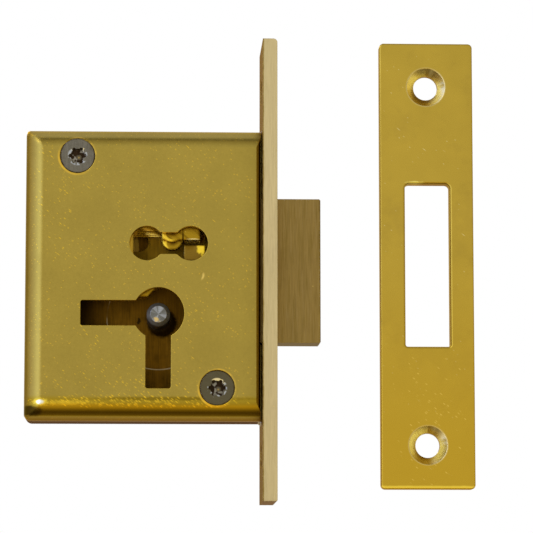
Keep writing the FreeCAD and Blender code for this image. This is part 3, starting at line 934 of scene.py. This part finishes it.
@dataclass
class CaseWork:
    """The drawn cap and the case behind it."""

    inset: float = 1.9 * MM
    fillet: float = 4.0 * MM
    seat_radius: float = 4.1 * MM
    seat_edge: float = 3.82 * MM
    key: Point = mm(-22.8, 0, -9.7)
    key_bit: float = 11.45 * MM
    low_front: Zone = Zone(mm(-60, -8, -40), mm(1, -5.2, 0))
    # The cap's face darkens near the forend by painted shade.
    cap: BrassFinish = BrassFinish("cap_olive_brass", (0.415, 0.297, 0.050), roughness=0.2, bump=0.3,
                                   dark=(0.13, 0.075, 0.010), bright=(0.98, 0.60, 0.04), painted_shade=0.75, smudge=0.08,
                                   specks=0.10, scratches=0.06, edge_share=0.9)
    case: BrassFinish = BrassFinish("case_brass", (0.44, 0.30, 0.055), roughness=0.28, tone=0.09,
                                    graze=(0.35, 0.2, 0.02))

    def cap_marks(self) -> tuple[Detail, ...]:
        """The cap's dent, its flecks, and painted light and shade on its lower edge, lower left corner and left
        rim.

        Returns:
            The details, in the order in which they are worked in.
        """
        return (
            # A real dent, with a painted highlight on its burr.
            Dent(mm(-13.55, 0, -1.55), mm(1.1, 0.62), 70.0, (0.95, 0.66, 0.16)),
            # Painted light and shade on the lower fillet: a browner band and a darker line along it.
            FadingTone(*mm(-27.6, -28.8), (0.40, 0.26, 0.012), 0.85, axis=2, zone=self.low_front),
            StainOrPaintedLight(mm(-20, 0, -28.55), mm(24, 0.6), (0.22, 0.14, 0.008), 0.75, 0.9, 0.3),
            Sparkle(mm(-38, 0, -14.5), mm(5, 1.6), 0.4, lean_deg=-35.0),
            Sparkle(mm(-33, 0, -26), mm(20, 5), 0.25),
            # Flecks crowd along the lower fillet as painted glints.
            Sparkle(mm(-27, 0, -29.2), mm(32, 1.6), 0.9, fleck=0.62),
            Sparkle(mm(-45, 0, 18), mm(6, 14), 0.16),
            Sparkle(mm(-13, 0, -10), mm(5, 4), 0.16),
            # Painted highlight: a gold glow on the lower fillet's left.
            StainOrPaintedLight(mm(-43, 0, -29.5), mm(9, 0.7), (1.0, 0.66, 0.04), 0.5, 1.6, 0.2),
            # Painted shade in the lower left corner.
            StainOrPaintedLight(mm(-50.3, 0, -31.25), mm(2.7, 1.35), (0.14, 0.085, 0.008), 0.95, 0.4, 0.6, over_painted_shade=True),
            StainOrPaintedLight(mm(-51.2, 0, -31.05), mm(2.3, 1.3), (0.06, 0.035, 0.003), 0.9, 0.3, 0.6, over_painted_shade=True),
            # Painted highlight: a hot spot with its halo at the lower left mitre.
            StainOrPaintedLight(mm(-48.3, 0, -29.3), mm(2.1, 1.1), (1.0, 0.74, 0.07), 0.9, 0.8, 0.2),
            StainOrPaintedLight(mm(-48.5, 0, -29.3), mm(1.1, 0.66), (1.0, 1.0, 0.85), 1.0, 0.5, 0.3),
            # Painted shade: darker towards the left rim.
            FadingTone(*mm(-51.1, -52), (0.19, 0.115, 0.014), 0.8),
        )

    def case_marks(self) -> tuple[Detail, ...]:
        """The case's tinted underside, painted shade and light within, the key's ring, a stain, the pin's painted
        shadow.

        Returns:
            The details, in the order in which they are worked in.
        """
        low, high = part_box("case")
        step = Vector((self.inset, self.inset, self.inset))
        inside = Zone(low + Vector((step.x, -step.y, step.z)), high - step)
        return (
            FadingTone(*mm(-31.6, -31.85), (0.27, 0.165, 0.035), 0.9, axis=2),
            # Painted shade inside the case, darker still towards its left end.
            ShadedHollow(inside),
            FadingTone(*mm(-33, -40), (0.03, 0.014, 0.002), zone=inside),
            WearOrPaintedLightRing(self.key, self.key_bit, share=0.5, wedges=3.0, zone=inside),
            WearOrPaintedLightRing(self.key, self.key_bit, broken=0.3, toward=(-0.1, 0.0, -1.0), zone=inside),
            StainOrPaintedLight(mm(-27.2, 0, -10.4), mm(0.9, 0.5), zone=inside, lean_deg=70.0),
            # Painted light on the case's back, where it shows through the sight hole.
            StainOrPaintedLight(mm(-28.35, 0, 6.1), mm(1.25, 3.6), (0.62, 0.38, 0.05), 0.9, 0.3, 0.85, zone=inside,
                  over_painted_shade=True),
            # Painted shadow below and to the right of the pin.
            StainOrPaintedLight(mm(-22, 0, -10.7), mm(3.6, 3.6), (0.008, 0.003, 0.0), 0.95, 0.3, 0.8, zone=inside),
        )

    def build(self) -> None:
        """Dresses both pieces, the cap with rings of painted highlight and shade about its screw seats."""
        seats: list[Detail] = []
        for node in ("upper_pillar", "lower_pillar"):
            middle = centre_of(node)
            seats += [
                # Painted highlights: gold crescents at the lower left and upper right of each seat.
                WearOrPaintedLightRing(middle, self.seat_radius, 0.42 * MM, (1.0, 0.6, 0.05), 1.1, 0.4, 0.95, (-0.6, 0.0, -0.8)),
                WearOrPaintedLightRing(middle, self.seat_radius, 0.26 * MM, (0.9, 0.55, 0.06), 2.0, 0.7, 0.9, (0.6, 0.0, 0.8)),
                # Painted shade along each seat's edge.
                WearOrPaintedLightRing(middle, self.seat_edge, 0.17 * MM, (0.05, 0.025, 0.004), 1.4, 0.5),
            ]
        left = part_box("cap")[0].x + self.fillet
        dress(self.cap, "cap", soft_left=left, details=(*self.cap_marks(), *seats))
        dress(self.case, "case", details=self.case_marks())


@dataclass
class DoorPlates:
    """The forend with its rivets and solder, and the striking plate."""

    sink_radius: float = 4.35 * MM
    sink_deep: float = 1.62 * MM
    skin: float = 0.03 * MM
    forend: BrassFinish = BrassFinish("forend_brushed_brass", (0.66, 0.52, 0.24), roughness=0.3,
                                      way=Grain.BRUSHED_UP, fine=5200.0, tone=0.10, specks=0.006,
                                      scratches=0.006, graze=(0.62, 0.42, 0.16))
    strike: BrassFinish = BrassFinish("strike_satin_brass", (0.54, 0.365, 0.045), roughness=0.26,
                                      bright=(0.96, 0.80, 0.34), fine=2600.0, tone=0.012, cloud=0.05, bump=0.02,
                                      specks=0.010, scratches=0.02, edge_radius=0.25 * MM, edge_share=1.0)
    rivet: BrassFinish = BrassFinish("rivet_brass", (0.60, 0.46, 0.18), roughness=0.35)
    solder: BrassFinish = BrassFinish("dull_solder", (0.50, 0.46, 0.38), dark=(0.2, 0.18, 0.14),
                                      bright=(0.8, 0.78, 0.7), roughness=0.5, tone=0.15)

    def sinks(self, mount: str, across: Point, front: Zone) -> tuple[TurnedSink, ...]:
        """The countersinks of a mount's two holes, kept to the plate's front."""
        return tuple(TurnedSink(p, self.sink_radius, across, zone=front) for p in bolt_circle(mount))

    def forend_marks(self) -> tuple[Detail, ...]:
        """The forend's countersinks, its darker back, its greyed foot and the painted shade beside the case.

        Returns:
            The details, in the order in which they are worked in.
        """
        low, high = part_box("forend")
        front = Zone((high.x - self.sink_deep, low.y, low.z), (high.x + self.sink_deep, high.y, high.z))
        foot = Zone(low * PAST, (1.0, 1.0, low.z + self.skin))
        near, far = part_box("case")
        grown = Vector(mm(1.0, 1.0, -0.3))
        beside = Zone(near - grown, (far.x + grown.x, 0.0, far.z + grown.z))
        return (
            *self.sinks("forend_screws", (0.0, 1.0, 1.0), front),
            FadingTone(*mm(0.3, 0.12), (0.24, 0.145, 0.014)),
            FadingTone(low.z + 0.5 * MM, low.z + 0.15 * MM, (0.98, 0.98, 0.95), 1.0, axis=2, zone=foot),
            # Painted shade on the forend's back beside the case.
            FadingTone(*mm(0.8, 0.4), (0.006, 0.003, 0.0), 1.0, 0.7, zone=beside),
        )

    def strike_marks(self) -> tuple[Detail, ...]:
        """The striking plate's warmer lower half, rubbed part, countersinks, and painted highlights on foot and
        slot.

        Returns:
            The details, in the order in which they are worked in.
        """
        low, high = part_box("striking_plate")
        front = Zone((low.x, low.y - self.sink_deep, low.z), (high.x, low.y + self.sink_deep, high.z))
        return (
            FadingTone(15.0 * MM, low.z, (0.60, 0.37, 0.022), 0.75, axis=2),
            Sparkle(mm(38, 0, -30), mm(9, 20), 0.14, (0.95, 0.66, 0.12)),
            *self.sinks("strike_screws", (1.0, 0.0, 1.0), front),
            # Painted highlight along the plate's foot.
            FadingTone(low.z + 0.95 * MM, low.z + 0.5 * MM, (1.0, 0.72, 0.07), axis=2),
            # Painted highlight at the slot's top.
            StainOrPaintedLight(mm(35, 0, 21.75), mm(2.6, 0.5), (1.0, 0.88, 0.22), 0.9, 0.8, 0.3),
        )

    def build(self) -> None:
        """Dresses the plates and what holds the forend."""
        dress(self.forend, "forend", details=self.forend_marks())
        dress(self.strike, "striking_plate", details=self.strike_marks())
        dress(self.rivet, "forend_rivets")
        dress(self.solder, "forend_solder")


@dataclass
class BoltWork:
    """The bolt and the stump that the levers' gates let pass."""

    wall: float = 2.0 * MM
    skin: float = 0.03 * MM
    bolt: BrassFinish = BrassFinish("bolt_drawn_brass", (0.28, 0.18, 0.045), roughness=0.33, way=Grain.BRUSHED_UP,
                                    tone=0.16, specks=0.004, scratches=0.004, graze=(0.8, 0.75, 0.6))
    # Deep in the case, the stump is darkened by painted shade.
    stump: BrassFinish = BrassFinish("stump_milled_brass", (0.28, 0.165, 0.018), roughness=0.3,
                                     dark=(0.07, 0.035, 0.003), way=Grain.BRUSHED_ACROSS, painted_shade=0.9,
                                     painted_shade_reach=6.0 * MM, roll=0.5 * MM)

    def build(self) -> None:
        """Dresses both pieces, the bolt's tail as dark as the case it lies in, by painted shade."""
        low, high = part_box("bolt")
        start, end = low * PAST, high * PAST
        sole = Zone(start, (1.0, 1.0, low.z + self.skin))
        tail = Zone(start, (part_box("case")[1].x - self.wall, end.y, end.z))
        dress(self.bolt, "bolt", details=(
            DrawnLines(90.0, (0.20, 0.125, 0.02), 0.4, 2000.0, 0.48),
            DrawnLines(90.0, (0.38, 0.26, 0.09), 0.25, 2600.0, 0.54),
            FadingTone(low.z + 0.35 * MM, low.z + 0.12 * MM, (0.40, 0.37, 0.20), 1.0, axis=2, zone=sole),
            # Painted shade on the bolt's tail inside the case.
            ShadedHollow(tail, (0.26, 0.145, 0.008)),
            # Painted highlight on the bolt, where it shows through the sight hole.
            StainOrPaintedLight(mm(-12.9, 0, 8.2), mm(0.6, 2.2), (1.0, 0.68, 0.08), 0.8, 0.6, 0.3, 0.6, over_painted_shade=True),
        ))
        dress(self.stump, "bolt_stump", details=(
            # Painted shade on the stump's left, and a painted highlight on its right.
            StainOrPaintedLight(mm(-16.2, 0, 5.3), mm(1.9, 1.2), (0.20, 0.105, 0.006), 0.85, 0.8, 0.2),
            StainOrPaintedLight(mm(-13.3, 0, 5.5), mm(1.35, 2.4), (1.0, 0.70, 0.045), 1.0, 0.9, 0.6, over_painted_shade=True),
        ))


@dataclass
class LeverPack:
    """The levers and the spring strips that press them down."""

    count: int = 5
    spring_thick: float = 0.4 * MM
    turn_steps: int = 40
    tooth_rim: float = 1.75 * MM
    first: Zone = Zone(mm(-30, -4.6, -8), mm(-10, -3.6, 11))
    second: Zone = Zone(mm(-30, -3.5, -8), mm(-10, -2.6, 11))
    deep: Zone = Zone(mm(-18, -2, 4), mm(-10, 4, 9))
    gold: Colour = (1.0, 0.68, 0.05)
    amber: Colour = (0.16, 0.08, 0.004)
    # Deep in the case, the levers are darkened by painted shade.
    lever: BrassFinish = BrassFinish("lever_stamped_brass", (0.48, 0.285, 0.014), roughness=0.24, tone=0.12,
                                     dark=(0.06, 0.028, 0.002), bright=(1.0, 0.72, 0.12), grime_and_shade=0.7, painted_shade=0.95,
                                     painted_shade_reach=6.0 * MM, roll=0.75 * MM, edge_share=0.9)
    strip: BrassFinish = BrassFinish("spring_bronze_strip", (0.50, 0.33, 0.14), roughness=0.25,
                                     way=Grain.BRUSHED_ACROSS, tone=0.06)

    def lever_marks(self) -> list[Detail]:
        """The lines, and the teeth, gap, steps and bays painted lit or shaded, that show in the sight hole.

        Returns:
            The details, in the order in which they are worked in.
        """
        marks: list[Detail] = [DrawnLines(-38.0, self.amber, 0.7, 900.0, 0.50)]
        for tooth, size, share, zone, toward in (
            (mm(-19.9, -4.25, 8.3), mm(1.2, 1.0), 0.75, self.first, (-0.9, 0.0, -0.5)),
            (mm(-19.7, -3.1, 6.2), mm(1.3, 0.9), 0.8, self.second, (-0.6, 0.0, -0.8)),
        ):
            # Painted light on each tooth: shade over its face, and a gold highlight round its rim.
            marks += [
                StainOrPaintedLight(tooth, size, self.amber, share, 0.6, 0.1, zone=zone),
                WearOrPaintedLightRing(tooth, self.tooth_rim, 0.62 * MM, self.gold, broken=0.1, share=0.95, toward=toward,
                         zone=zone, over_painted_shade=True),
            ]
        return marks + [
            # Painted shade in the gap beside the first tooth.
            StainOrPaintedLight(mm(-17.45, 0, 6.3), mm(0.32, 3.6), (0.05, 0.02, 0.001), 0.9, 0.5, 0.4, zone=self.first),
            # Painted highlights along the block's lower edge and the pocket's steps.
            StainOrPaintedLight(mm(-15.1, 0, 6.95), mm(1.9, 0.28), (1.0, 0.86, 0.40), 0.95, 0.6, 0.4, zone=self.first,
                  over_painted_shade=True),
            StainOrPaintedLight(mm(-24, 0, 8.35), mm(2.3, 0.4), (1.0, 0.82, 0.25), 0.95, 0.6, 0.4, 0.0, -9.0, over_painted_shade=True),
            StainOrPaintedLight(mm(-25.2, 0, 9.15), mm(1.6, 0.22), (0.95, 0.62, 0.1), 0.8, 0.7, 0.4, 0.0, -8.0,
                  over_painted_shade=True),
            # Painted light in the gate and on the left bay.
            StainOrPaintedLight(mm(-15, 0, 6.8), mm(2.7, 1.1), (1.0, 0.76, 0.14), 1.0, 0.3, 0.7, 0.7, zone=self.deep,
                  over_painted_shade=True),
            StainOrPaintedLight(mm(-28.4, 0, 6.5), mm(1.2, 3.6), (0.50, 0.30, 0.03), 0.8, 0.3, 0.8, over_painted_shade=True),
        ]

    def spring_mesh(self, name: str, low: Vector, high: Vector, foot: float) -> bpy.types.Mesh:
        """A strip that stands in the lever and bends over in a quarter turn.

        Args:
            name: the mesh's name.
            low: the lowest corner of the strip's box.
            high: the highest corner of the strip's box.
            foot: how deep the strip stands in the lever.

        Returns:
            The new mesh.
        """
        turn = high.x - low.x
        top = low.z + foot
        outer, inner = [(low.x, low.z)], [(low.x + self.spring_thick, low.z)]
        for n in range(self.turn_steps + 1):
            a = math.pi / 2 * n / self.turn_steps
            for rim, r in ((outer, turn), (inner, turn - self.spring_thick)):
                rim.append((high.x - r * math.cos(a), top + r * math.sin(a)))
        shape = bmesh.new()
        rows = []
        for (ox, oz), (ix, iz) in zip(outer, inner):
            corners = [(ox, low.y, oz), (ox, high.y, oz), (ix, high.y, iz), (ix, low.y, iz)]
            rows.append([shape.verts.new(c) for c in corners])
        for a, b in zip(rows, rows[1:]):
            for k in range(4):
                shape.faces.new((a[k], a[(k + 1) % 4], b[(k + 1) % 4], b[k]))
        shape.faces.new(rows[0])
        shape.faces.new(rows[-1][::-1])
        bmesh.ops.recalc_face_normals(shape, faces=shape.faces)
        mesh = bpy.data.meshes.new(name)
        shape.to_mesh(mesh)
        shape.free()
        return mesh

    def build(self) -> None:
        """Dresses the levers, and makes each spring as a strip bent over in a quarter turn, hiding the imported
        one.
        """
        numbers = range(1, self.count + 1)
        dress(self.lever, *(f"lever_{n}" for n in numbers), details=tuple(self.lever_marks()))
        strip = self.strip.material()
        for n in numbers:
            node = f"lever_spring_{n}"
            low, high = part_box(node)
            foot = (high.z - low.z) - (high.x - low.x)
            mesh = self.spring_mesh(f"bent_strip_{n}", low, high, foot)
            mesh.materials.append(strip)
            piece = stand(f"bent_strip_{n}", mesh)
            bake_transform(piece)
            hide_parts(node)
            LOG.info("made bent_strip_%d", n)


@dataclass
class PinsAndScrews:
    """The cap screws, pillars, drill pin, lever pivot and stop pin."""

    edge_ring: float = 3.7 * MM
    patch_drop: float = 0.25 * MM
    pin_face: float = 1.8 * MM
    recess_half: float = 2.1 * MM
    recess_deep: float = 1.4 * MM
    face_skin: float = 0.05 * MM
    pillar: BrassFinish = BrassFinish("pillar_turned_brass", (0.55, 0.40, 0.13), roughness=0.35)
    screw: TurnedFinish = TurnedFinish("screw_grey_steel", (0.175, 0.155, 0.108), wedge_light=0.16)
    pin: TurnedFinish = TurnedFinish("pin_turned_steel", (0.165, 0.16, 0.13), bright=(0.50, 0.51, 0.50),
                                     wedge_light=0.6, wedges=1.5, rim=(0.30, 0.27, 0.20))
    # Painted gold glint on the drill pin's face.
    pin_gold_glint: StainOrPaintedLight = StainOrPaintedLight(mm(-23.1, 0, -10.9), mm(0.95, 0.55), (0.80, 0.55, 0.16), 0.85, 2.6, 0.3,
                            lean_deg=-25.0)

    def screw_marks(self, centre: Vector) -> list[Detail]:
        """A screw face's burrs, painted shade and two painted lights in its recess, and painted shade round its
        edge.

        Args:
            centre: the middle of the screw's face.

        Returns:
            The details, in the order in which they are worked in.
        """
        low = Vector((-self.recess_half, self.face_skin, -self.recess_half))
        high = Vector((self.recess_half, self.recess_deep, self.recess_half))
        recess = Zone(centre + low, centre + high)
        patch = centre + Vector((self.patch_drop, 0.0, -self.patch_drop))
        return [
            Burrs(centre),
            # Painted shade and glints in the recess, and two painted patches of light on its floor.
            ShadedHollow(recess, (0.028, 0.016, 0.007), 0.1, (0.30, 0.27, 0.19), 0.44, 800.0),
            StainOrPaintedLight(patch, mm(0.75, 0.75), (0.15, 0.125, 0.07), 0.8, 0.8, 0.5, zone=recess),
            StainOrPaintedLight(patch, mm(0.3, 0.3), (0.42, 0.28, 0.07), 0.8, 0.8, 0.3, zone=recess),
            # Painted shade round the screw's edge.
            WearOrPaintedLightRing(centre, self.edge_ring, 0.2 * MM, (0.05, 0.026, 0.006), broken=0.6, share=0.75),
        ]

    def build(self) -> None:
        """Dresses the turned pieces, each with rings about its own axis, and the second screw duller."""
        for node, marks in (("drill_pin", (self.pin_gold_glint,)), ("lever_pivot", ()), ("lever_stop_pin", ())):
            dress(self.pin, node, name=node + "_steel", centres=(centre_of(node),),
                  face_radius=self.pin_face, details=marks)
        pillars = ("upper_pillar", "lower_pillar")
        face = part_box("cap_screws")[0].y
        upper, lower = (Vector((m.x, face, m.z)) for m in map(centre_of, pillars))
        dulled = StainOrPaintedLight(lower, mm(5, 5), (0.088, 0.07, 0.025), 0.8, 0.2, 0.85)
        dress(self.screw, "cap_screws", centres=(upper, lower),
              details=(dulled, *self.screw_marks(upper), *self.screw_marks(lower)))
        dress(self.pillar, *pillars)


@dataclass
class Studio:
    """The pale floor, the soft dome of light, the lamps and the camera.

    Each lamp has a name, a place, a side and a power in watts. Each stop of the dome's bands is an angle in
    degrees and its red, green and blue in hundredths.
    """

    target: Point = mm(1.187, 0, 1.524)
    station: Point = mm(-23.2, -629.8, -77.8)
    lens: float = 192.9
    sensor: float = 36.0
    floor_half: float = 0.7
    floor_drop: float = 0.2 * MM
    floor_fade: Pair = (0.16, 0.5)
    floor_grain: float = 900.0
    floor_tones: Pair = (0.9, 0.94)
    side_lean: Pair = (0.10, 0.42)
    lamps: tuple[tuple[str, Point, float, float], ...] = (
        ("upper_left_lamp", (-0.45, -0.75, 0.55), 0.35, 0.5),
        ("rear_lamp", (-0.5, 0.8, 0.5), 0.4, 1.5),
    )
    level: float = 0.86
    over_the_top: tuple[Stop, ...] = (
        (-180, 52, 41, 26), (-173, 54, 44, 30), (-164, 46, 31, 24), (-142, 46, 34, 28), (-118, 66, 52, 42),
        (-101, 80, 72, 70), (-91, 26, 20, 12), (-66, 13, 9, 3.5), (-52, 33, 25, 10), (-38, 80, 61, 20),
        (-26, 116, 90, 30), (-14, 92, 81, 50), (-4, 90, 88, 90), (8, 100, 100, 100), (18, 92, 94, 100),
        (32, 72, 72, 74), (50, 56, 54, 50), (57, 33, 32, 30), (67, 33, 33, 36), (75, 72, 76, 110),
        (86, 84, 88, 140), (120, 80, 82, 135), (150, 85, 84, 86), (165, 64, 53, 38), (180, 52, 41, 26))
    round_about: tuple[Stop, ...] = (
        (-180, 80, 78, 75), (-165, 85, 83, 80), (-100, 68, 65, 62), (-60, 70, 66, 62), (-20, 95, 94, 92),
        (2, 100, 100, 100), (8, 122, 126, 150), (14, 150, 162, 220), (22, 168, 188, 290), (30, 168, 190, 300),
        (42, 150, 170, 260), (56, 125, 136, 210), (70, 108, 114, 170), (86, 92, 92, 130), (105, 76, 70, 70),
        (125, 66, 60, 58), (165, 85, 83, 80), (180, 80, 78, 75))
    sideways: tuple[Stop, ...] = (
        (-90, 40, 34, 30), (-60, 30, 26, 20), (-38, 70, 60, 40), (-20, 100, 96, 90), (0, 100, 100, 100),
        (30, 95, 95, 95), (60, 75, 75, 80), (90, 80, 80, 90))

    def ramp(self, bench: Bench, angle: Socket, band: tuple[Stop, ...]) -> Socket:
        """Turns an angle into a colour of light.

        Args:
            bench: the world's node tree.
            angle: the angle in degrees.
            band: the band's stops, from the lowest angle to the highest.

        Returns:
            The colour's socket.
        """
        stops = [(at, [part / 100 for part in light]) for at, *light in band]
        low, high = stops[0][0], stops[-1][0]
        top = max(max(light) for _, light in stops)
        node = bench.add("ValToRGB", {0: bench.remap(angle, low, high)})
        points = node.color_ramp.elements
        for _ in stops[2:]:
            points.new(1.0)
        for point, (_, light) in zip(points, stops):
            point.color = (*(part / top for part in light), 1.0)
        for n in range(len(stops) - 1, -1, -1):
            points[n].position = (stops[n][0] - low) / (high - low)
        return bench.vector("MULTIPLY", node.outputs[0], (top, top, top))

    def world(self) -> None:
        """Makes the dome: white behind the object, and soft bands of light and dark where metal mirrors it."""
        world = bpy.data.worlds.new("soft_dome")
        world.use_nodes = True
        bpy.context.scene.world = world
        bench = Bench(world.node_tree)
        x, y, z = bench.add("SeparateXYZ", {0: bench.add("TexCoord").outputs["Generated"]}).outputs
        ahead = bench.times(y, -1.0)
        pitch = bench.math("DEGREES", bench.math("ARCTAN2", z, ahead))
        yaw = bench.math("DEGREES", bench.math("ARCTAN2", bench.times(x, -1.0), ahead))
        lift = bench.math("DEGREES", bench.math("ARCSINE", z))
        upright = self.ramp(bench, pitch, self.over_the_top)
        around = bench.mix(1.0, self.ramp(bench, yaw, self.round_about), self.ramp(bench, lift, self.sideways),
                           "MULTIPLY")
        lean = bench.ease(bench.math("ABSOLUTE", x), *self.side_lean)
        path = bench.add("LightPath").outputs
        bands = bench.mix(lean, upright, around)
        glossy, plain, white = (bench.add("Background", {"Color": colour, "Strength": level}).outputs[0]
                                for colour, level in ((bands, self.level), (WHITE, self.level), (WHITE, 1.0)))
        soft = bench.add("MixShader", {0: path["Is Glossy Ray"], 1: plain, 2: glossy})
        seen = bench.add("MixShader", {0: path["Is Camera Ray"], 1: soft.outputs[0], 2: white})
        bench.add("OutputWorld", {"Surface": seen.outputs[0]})

    def floor(self) -> None:
        """Makes the pale floor under the forend's end, which shows from above and fades out round the object."""
        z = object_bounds()[0].z - self.floor_drop
        h = self.floor_half
        mesh = bpy.data.meshes.new("pale_floor")
        mesh.from_pydata([(-h, -h, z), (h, -h, z), (h, h, z), (-h, h, z)], [], [(0, 1, 2, 3)])
        stand("pale_floor", mesh)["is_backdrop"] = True
        on = Surface("pale_floor", WHITE, 0.5)
        gone = on.ease(on.vector("LENGTH", on.vector("MULTIPLY", on.place, (1.0, 1.0, 0.0))), *self.floor_fade)
        tone = on.spread(on.noise(on.place, self.floor_grain, rough=0.55), *self.floor_tones)
        matt = on.add("BsdfDiffuse", {"Color": on.grey(tone)}).outputs[0]
        clear = on.add("BsdfTransparent").outputs[0]
        under = on.add("NewGeometry").outputs["Backfacing"]
        mirrored = on.add("LightPath").outputs["Is Glossy Ray"]
        hide = on.math("MAXIMUM", on.math("MAXIMUM", gone, under), mirrored)
        surface = on.add("MixShader", {0: hide, 1: matt, 2: clear})
        on.add("OutputMaterial", {"Surface": surface.outputs[0]})
        mesh.materials.append(on.material)

    def hang(self, data: Any, place: Point, **settings: Any) -> bpy.types.Object:
        """Adds a lamp or camera that faces the object.

        Args:
            data: the lamp's or camera's data.
            place: where it hangs.
            settings: the data's own properties.

        Returns:
            The new object.
        """
        for name, value in settings.items():
            setattr(data, name, value)
        thing = stand(data.name, data)
        thing.location = place
        thing.rotation_mode = "QUATERNION"
        thing.rotation_quaternion = (Vector(self.target) - Vector(place)).to_track_quat("-Z", "Y")
        return thing

    def build(self) -> None:
        """Sets up the whole studio."""
        bpy.context.scene.view_settings.view_transform = "Standard"
        self.world()
        self.floor()
        for name, place, size, watts in self.lamps:
            self.hang(bpy.data.lights.new(name, "AREA"), place, shape="SQUARE", size=size, energy=watts)
        camera = bpy.data.cameras.new("photo_camera")
        bpy.context.scene.camera = self.hang(camera, self.station, sensor_width=self.sensor, lens=self.lens,
                                             clip_start=0.05, clip_end=20.0)
        LOG.info("set up the studio")


def main() -> None:
    """Builds the looks piece by piece."""
    logging.basicConfig(level=logging.INFO, format="%(name)s: %(message)s")
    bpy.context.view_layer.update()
    for work in (CaseWork(), DoorPlates(), BoltWork(), LeverPack(), PinsAndScrews(), Studio()):
        LOG.info("building %s", type(work).__name__)
        work.build()


if __name__ == "__main__":
    main()
